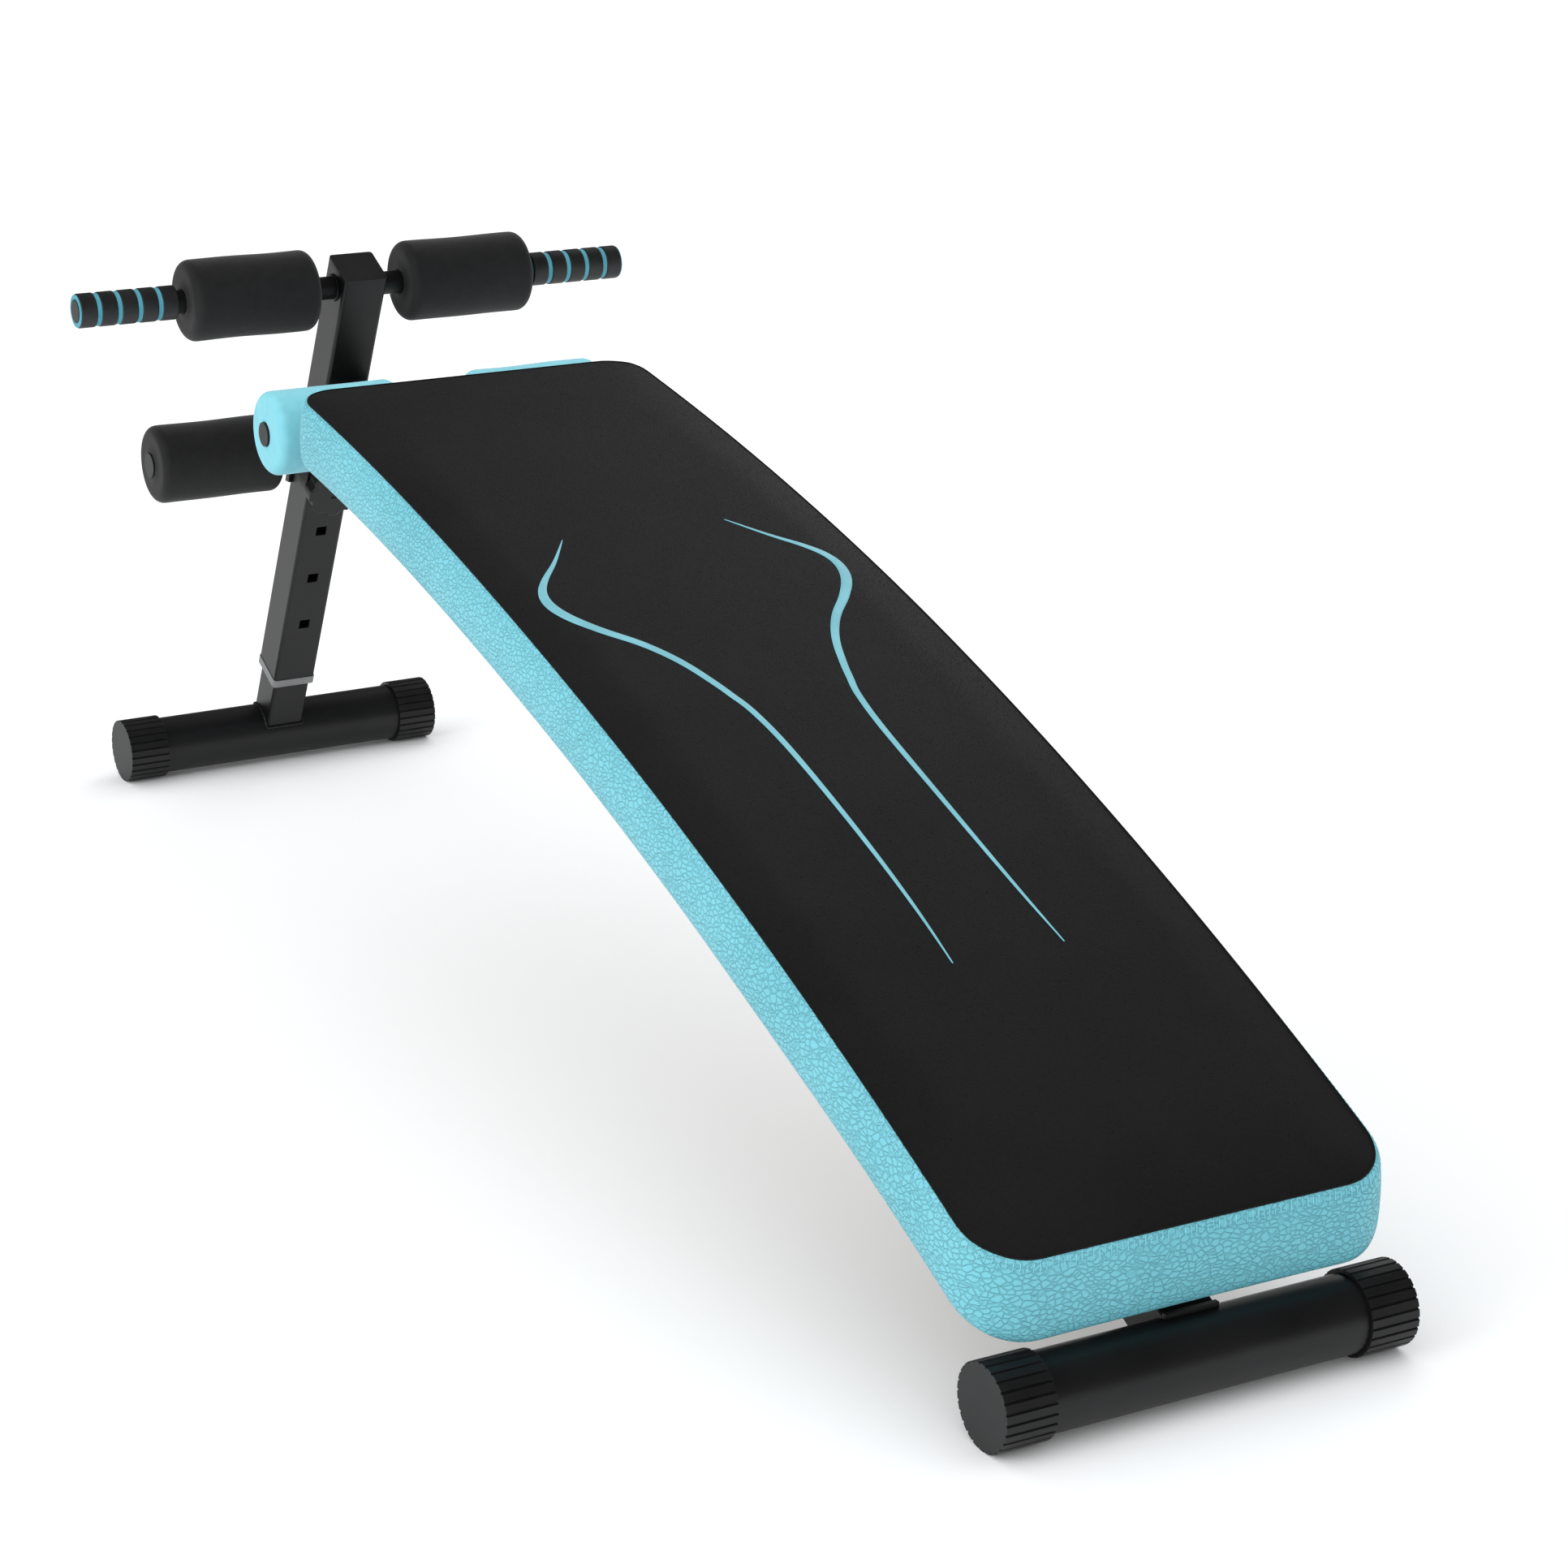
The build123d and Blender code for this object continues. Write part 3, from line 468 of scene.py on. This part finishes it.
def inflate(piece, held):
    """Swells the cover with air pressure from inside, holding the seam and the hem."""
    rest = [v.co.copy() for v in piece.data.vertices]
    group = piece.vertex_groups.new(name="held")
    group.add(held, 1.0, "REPLACE")
    cloth = piece.modifiers.new("cover", "CLOTH")
    settings = cloth.settings
    settings.quality = 6
    settings.mass = 0.4
    settings.tension_stiffness = settings.compression_stiffness = 25
    settings.shear_stiffness = 12
    settings.bending_stiffness = 2
    settings.use_pressure = True
    settings.uniform_pressure_force = 4
    settings.vertex_group_mass = "held"
    settings.effector_weights.gravity = 0
    scene = bpy.context.scene
    for number in range(1, swelling_frames + 1):
        scene.frame_set(number)
    shape = piece.evaluated_get(bpy.context.evaluated_depsgraph_get()).data
    moved = [v.co.copy() for v in shape.vertices]
    piece.modifiers.remove(cloth)
    scene.frame_set(1)
    for vertex, start, end in zip(piece.data.vertices, rest, moved):
        step = end - start
        if step.length > swelling:
            step *= swelling / step.length
        vertex.co = start + step
    piece.vertex_groups.clear()


def keep_faces(piece, wanted, name):
    """A copy of the piece's mesh with only the faces of the wanted part number."""
    form = bmesh.new()
    form.from_mesh(piece.data)
    layer = form.faces.layers.int["part"]
    drop = [f for f in form.faces if f[layer] != wanted]
    bmesh.ops.delete(form, geom=drop, context="FACES")
    data = bpy.data.meshes.new(name)
    form.to_mesh(data)
    form.free()
    return data


def skin(piece):
    """Smooths a cover and gives it the vinyl's thickness, inwards."""
    smooth = piece.modifiers.new("smooth", "SUBSURF")
    smooth.levels = smooth.render_levels = 1
    smooth.boundary_smooth = "PRESERVE_CORNERS"
    shell = piece.modifiers.new("vinyl", "SOLIDIFY")
    shell.thickness = vinyl_thickness
    shell.offset = -1


def crown(point):
    """Extra rise of the foam under the middle of the top panel."""
    angle = math.atan2(point.z - arc_centre.y, point.y - arc_centre.x)
    s = (arc_from - angle) * arc_radius
    radius = math.hypot(point.z - arc_centre.y, point.y - arc_centre.x)
    if radius < arc_radius - 4 * MM:
        return Vector((0, 0, 0))
    edge = min(1.0, max(0.0, min(s, seam_length - s, seam_half - abs(point.x)) / crown_edge))
    return pad_up(s) * crown_height * math.sin(edge * math.pi / 2)


def pad_pieces():
    """Black top cover and cyan side cover of the pad, sewn together along the seam."""
    form, seam, held = cushion_cover()
    data = bpy.data.meshes.new("pad_block")
    form.to_mesh(data)
    form.free()
    block = bpy.data.objects.new("pad_block", data)
    bpy.context.scene.collection.objects.link(block)
    inflate(block, held)
    for vertex in data.vertices:
        vertex.co += crown(vertex.co)
    seam_line = [data.vertices[i].co.copy() for i in seam]
    top = make_piece("pad_top_cover", keep_faces(block, 0, "pad_top_cover"), finish["black_vinyl"])
    side = make_piece("pad_side_cover", keep_faces(block, 1, "pad_side_cover"), finish["cyan_vinyl"])
    skin(top)
    skin(side)
    bpy.data.objects.remove(block)
    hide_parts("pad_top_panel")
    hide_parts("pad_cushion")
    return top, side, seam_line


pad_top, pad_side, seam_line = pad_pieces()


def surface_of(piece):
    """Ray-casting tree of a piece as shown."""
    return BVHTree.FromObject(piece, bpy.context.evaluated_depsgraph_get())


def seam_welt():
    """Folded edge of the side cover, a thin dark line all round the top panel."""
    form = bmesh.new()
    tube_along(form, [p + Vector((0, 0, 0.1 * MM)) for p in seam_line], lambda i: 0.55 * MM, closed=True)
    return make_piece("pad_seam_welt", form, finish["black_vinyl"])


seam_welt()


pad_middle = on_pad(seam_length / 2, 0, 30 * MM)
stitch_pitch = 4.2 * MM


def seam_stitches():
    """Whip stitches that draw the side cover to the top panel, one every few millimetres."""
    form = bmesh.new()
    lengths = [(b - a).length for a, b in zip(seam_line, seam_line[1:] + seam_line[:1])]
    gone = 0.0
    surface = surface_of(pad_side)
    for i, length in enumerate(lengths):
        start, end = seam_line[i], seam_line[(i + 1) % len(seam_line)]
        along = (end - start).normalized()
        while gone < length:
            spot = start + along * gone
            gone += stitch_pitch
            down = Vector((0, 0, -1))
            out = along.cross(down).normalized()
            if out.dot(spot - Vector((0, pad_middle.y, pad_middle.z))) < 0:
                out = -out
            trail = []
            for k in range(5):
                depth = (1.2 + 1.5 * k) * MM
                level = spot + down * depth + along * 0.35 * k * MM
                hit = surface.ray_cast(level + out * 0.02, -out)
                if hit[0]:
                    trail.append(hit[0] + out * 0.12 * MM)
            if len(trail) == 5:
                tube_along(form, trail, lambda k: 0.38 * MM, sides=5)
        gone -= length
    return make_piece("pad_seam_stitches", form, thread_finish)


seam_stitches()


# distance from the seam's low end and half the gap between the two lines, then half the line's width, in mm
LINE_COURSE = ((245, 43.0, 0.5), (303, 40.0, 1.3), (383, 38.5, 1.9), (483, 39.0, 2.4), (533, 42.5, 2.6),
               (558, 48.0, 2.8), (575, 52.5, 2.9), (600, 60.5, 3.1), (620, 69.5, 3.3), (640, 82.0, 3.6),
               (663, 101.0, 4.0), (685, 115.0, 4.4), (705, 121.0, 4.2), (723, 119.0, 3.5), (741, 109.0, 2.6),
               (765, 90.0, 1.6), (796, 69.0, 0.4))


# shares of half the film's width and height above the cover, in mm
FILM_PROFILE = ((-1.0, -0.1), (-0.94, 0.28), (-0.4, 0.34), (0.4, 0.34), (0.94, 0.28), (1.0, -0.1))


def course(points, t):
    """Smooth value through evenly numbered points, t from 0 to their count less one."""
    i = min(int(t), len(points) - 2)
    f = t - i
    p = [points[min(max(i + k, 0), len(points) - 1)] for k in (-1, 0, 1, 2)]
    return [0.5 * (2 * b + (c - a) * f + (2 * a - 5 * b + 4 * c - d) * f ** 2
                   + (3 * b - a - 3 * c + d) * f ** 3)
            for a, b, c, d in zip(*p)]


def accent_line(side, surface):
    """Thin printed film that lies on the pad's top."""
    form = bmesh.new()
    rows = []
    count = (len(LINE_COURSE) - 1) * 8
    for i in range(count + 1):
        t = i / 8
        s, x, half = course(LINE_COURSE, t)
        ahead = course(LINE_COURSE, min(t + 0.02, len(LINE_COURSE) - 1))
        behind = course(LINE_COURSE, max(t - 0.02, 0))
        along = Vector((ahead[0] - behind[0], ahead[1] - behind[1])).normalized()
        across = Vector((-along.y, along.x))
        row = []
        for share, lift in FILM_PROFILE:
            ss = (s + across.x * half * share) * MM
            xx = side * (x + across.y * half * share) * MM
            up = pad_up(ss)
            base = on_pad(ss, xx, 0)
            hit = surface.ray_cast(base + up * 0.02, -up)
            row.append(form.verts.new((hit[0] if hit[0] else base) + up * lift * MM))
        rows.append(row)
    for a, b in zip(rows, rows[1:]):
        for k in range(len(a) - 1):
            form.faces.new((a[k], a[k + 1], b[k + 1], b[k]))
        form.faces.new((a[-1], a[0], b[0], b[-1]))
    form.faces.new(rows[0])
    form.faces.new(rows[-1][::-1])
    bmesh.ops.recalc_face_normals(form, faces=form.faces)
    word = "left" if side < 0 else "right"
    return make_piece(f"accent_line_{word}", form, film_finish)


top_surface = surface_of(pad_top)
accent_line(-1, top_surface)
accent_line(1, top_surface)


staple_foot = 56.5 * MM
staple_crown = 58.9 * MM


def hem_staples():
    """Wire staples that hold the turned-under hem on the board."""
    form = bmesh.new()
    crown_half = 5 * MM
    side_x = seam_half - 10 * MM
    spots = []
    count = 24
    for i in range(count):
        s = 60 * MM + (seam_length - 120 * MM) * i / (count - 1)
        spots += [((s - crown_half, x), (s + crown_half, x)) for x in (-side_x, side_x)]
    for i in range(6):
        x = -100 * MM + 40 * MM * i
        spots += [((s, x - crown_half), (s, x + crown_half)) for s in (36 * MM, seam_length - 12 * MM)]
    for start, end in spots:
        corners = ((start, staple_foot), (start, staple_crown), (end, staple_crown), (end, staple_foot))
        trail = [on_pad(s, x, depth) for (s, x), depth in corners]
        tube_along(form, trail, lambda i: 0.5 * MM, sides=6)
    return make_piece("hem_staples", form, finish["zinc_steel"])


hem_staples()


# ---------------------------------------------------------------- welds
def bead(form, points, radius, closed=False):
    """Adds a weld bead along these points, with the ripples of its passes."""
    tube_along(form, points, lambda i: radius * (1 + 0.14 * math.sin(1.9 * i)), closed=closed)


def bar_welds():
    """Beads round the handlebar at the post and round the ankle bar at its lugs."""
    for bar, holder in (("handlebar", "post_tube"), ("ankle_bar", "ankle_bar_lugs")):
        bar_low, bar_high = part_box(bar)
        holder_low, holder_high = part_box(holder)
        ring = (bar_high.z - bar_low.z) / 2 + 0.5 * MM
        y, z = (bar_low.y + bar_high.y) / 2, (bar_low.z + bar_high.z) / 2
        for word, x, outward in (("left", holder_low.x, -1), ("right", holder_high.x, 1)):
            middle = x + outward * 0.4 * MM
            profile = []
            for k in range(8):
                turn = math.pi * k / 4
                profile.append((middle + 1.5 * MM * math.cos(turn), ring + 1.5 * MM * math.sin(turn)))
            form = lathe(profile, y, z, 90, lambda x, turn: 0.15 * MM * math.sin(30 * turn))
            make_piece(f"{bar}_weld_{word}", form, finish["black_paint"])


post_lean = 27


def leg_weld():
    """Bead all round the leg where it meets the rear foot tube."""
    foot_low, foot_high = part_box("rear_foot_tube")
    leg_low, leg_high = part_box("leg_tube")
    centre = (foot_low + foot_high) / 2
    radius = (foot_high.z - foot_low.z) / 2 + 0.4 * MM
    half = (leg_high.x - leg_low.x) / 2 + 0.3 * MM
    tilt = math.radians(post_lean)
    along = Vector((0, -math.sin(tilt), math.cos(tilt)))
    across = Vector((0, math.cos(tilt), math.sin(tilt)))
    corners = [(-half, -half), (half, -half), (half, half), (-half, half)]
    points = []
    for (x0, w0), (x1, w1) in zip(corners, corners[1:] + corners[:1]):
        for k in range(24):
            x, w = x0 + (x1 - x0) * k / 24, w0 + (w1 - w0) * k / 24
            points.append(centre + Vector((x, 0, 0)) + across * w + along * math.sqrt(radius ** 2 - w ** 2))
    form = bmesh.new()
    bead(form, points, 1.7 * MM, closed=True)
    make_piece("leg_weld", form, finish["black_paint"], body="rear_leg")


bar_welds()
leg_weld()


# ---------------------------------------------------------------- rollers
def roller_pieces():
    """Foam rollers with soft rims and a slightly uneven, hand-pressed body."""
    for kind, slot in (("upper", "black_foam"), ("ankle", "black_foam"), ("knee", "cyan_foam")):
        for word in ("left", "right"):
            node = f"{kind}_roller_{word}"
            low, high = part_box(node)
            sleeve_low, sleeve_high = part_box(f"{kind}_sleeve_{word}")
            bar_low, bar_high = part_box({"upper": "handlebar"}.get(kind, f"{kind}_bar"))
            bar = (bar_high.z - bar_low.z) / 2 + 0.1 * MM
            centre_y, centre_z = (low.y + high.y) / 2, (low.z + high.z) / 2
            radius = (high.z - low.z) / 2
            bore = (sleeve_high.z - sleeve_low.z) / 2 + 0.05 * MM
            length = high.x - low.x
            edge = 8 * MM
            rng = random.Random(f"{kind}{word}")
            phase = rng.uniform(0, 2 * math.pi)
            lean = rng.uniform(0, 2 * math.pi)

            def wobble(x, turn):
                t = (x - low.x) / length
                body = math.sin(math.pi * t)
                waist = -0.5 * MM * math.sin(2 * math.pi * t + phase) * math.cos(turn - lean)
                ripple = 0.12 * MM * math.sin(3 * turn + phase + 5 * t)
                return (waist + ripple) * body - 0.35 * MM * body

            # a lip of foam closes over the sleeve's end
            profile = [(low.x + 3 * MM, bore), (low.x - 0.1 * MM, bore), (low.x - 0.1 * MM, bar),
                       (low.x - 0.9 * MM, bar), (low.x - 0.7 * MM, bore + 2 * MM)]
            profile += [(low.x, bore + (radius - edge - bore) * k / 3) for k in range(1, 4)]
            profile += [(low.x + edge - edge * math.cos(a), radius - edge + edge * math.sin(a))
                        for a in (math.pi / 2 * k / 6 for k in range(1, 7))]
            middle = [low.x + edge + (length - 2 * edge) * k / 14 for k in range(1, 14)]
            profile += [(x, radius) for x in middle]
            mirror = [(low.x + high.x - x, r) for x, r in reversed(profile[:14])]
            profile += mirror
            form = lathe(profile, centre_y, centre_z, 96, wobble)
            piece = make_piece(node + "_foam", form, finish[slot], body=node)
            soften = piece.modifiers.new("smooth", "SUBSURF")
            soften.levels = soften.render_levels = 1
            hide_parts(node)


roller_pieces()


# ---------------------------------------------------------------- carried-over steel and plastic
for entry in frame["record"]["subparts"]:
    part = nodes[entry["node"]]
    part.data.materials.clear()
    part.data.materials.append(finish[entry["material_slot"]])


# ---------------------------------------------------------------- floor, light, camera
def studio():
    """Plain white floor, a white surround and soft boxes on the left and above."""
    scene = bpy.context.scene
    bpy.ops.mesh.primitive_plane_add(size=60, location=(0, 0, 0))
    floor = bpy.context.object
    floor.name = "floor"
    material, tree, shader, place = start_finish("white_floor", 0.9)
    shader.inputs["Base Color"].default_value = linear("#ecedee")
    shader.inputs["Specular IOR Level"].default_value = 0.0
    floor.data.materials.append(material)

    world = bpy.data.worlds.new("surround")
    scene.world = world
    world.use_nodes = True
    tree = world.node_tree
    background = tree.nodes["Background"]
    background.inputs["Color"].default_value = linear("#ffffff")
    # an even white surround to light by, with dark flags above so that gloss stays low
    ray = add(tree, "ShaderNodeLightPath")
    strength = add(tree, "ShaderNodeMapRange", {"To Min": 1.22, "To Max": 0.14},
                   {"Value": ray.outputs["Is Glossy Ray"]})
    tree.links.new(strength.outputs["Result"], background.inputs["Strength"])

    for name, place, aim, size, power in (
            ("left_softbox", (-3.2, -0.6, 1.6), (0, 0, 0.3), 2.0, 48),
            ("right_softbox", (3.0, 2.6, 2.4), (0, 0, 0.2), 2.0, 22)):
        data = bpy.data.lights.new(name, "AREA")
        data.shape = "SQUARE"
        data.size = size
        data.energy = power
        light = bpy.data.objects.new(name, data)
        light.location = place
        light.rotation_euler = (Vector(aim) - Vector(place)).to_track_quat("-Z", "Y").to_euler()
        scene.collection.objects.link(light)

    camera = bpy.data.objects.new("camera", bpy.data.cameras.new("camera"))
    camera.data.lens = 87.13
    camera.data.sensor_width = 36
    camera.location = (-1.2565, -2.5197, 1.0796)
    camera.rotation_euler = (math.radians(72.38), 0, math.radians(-28.88))
    scene.collection.objects.link(camera)
    scene.camera = camera
    scene.view_settings.view_transform = "Standard"


studio()
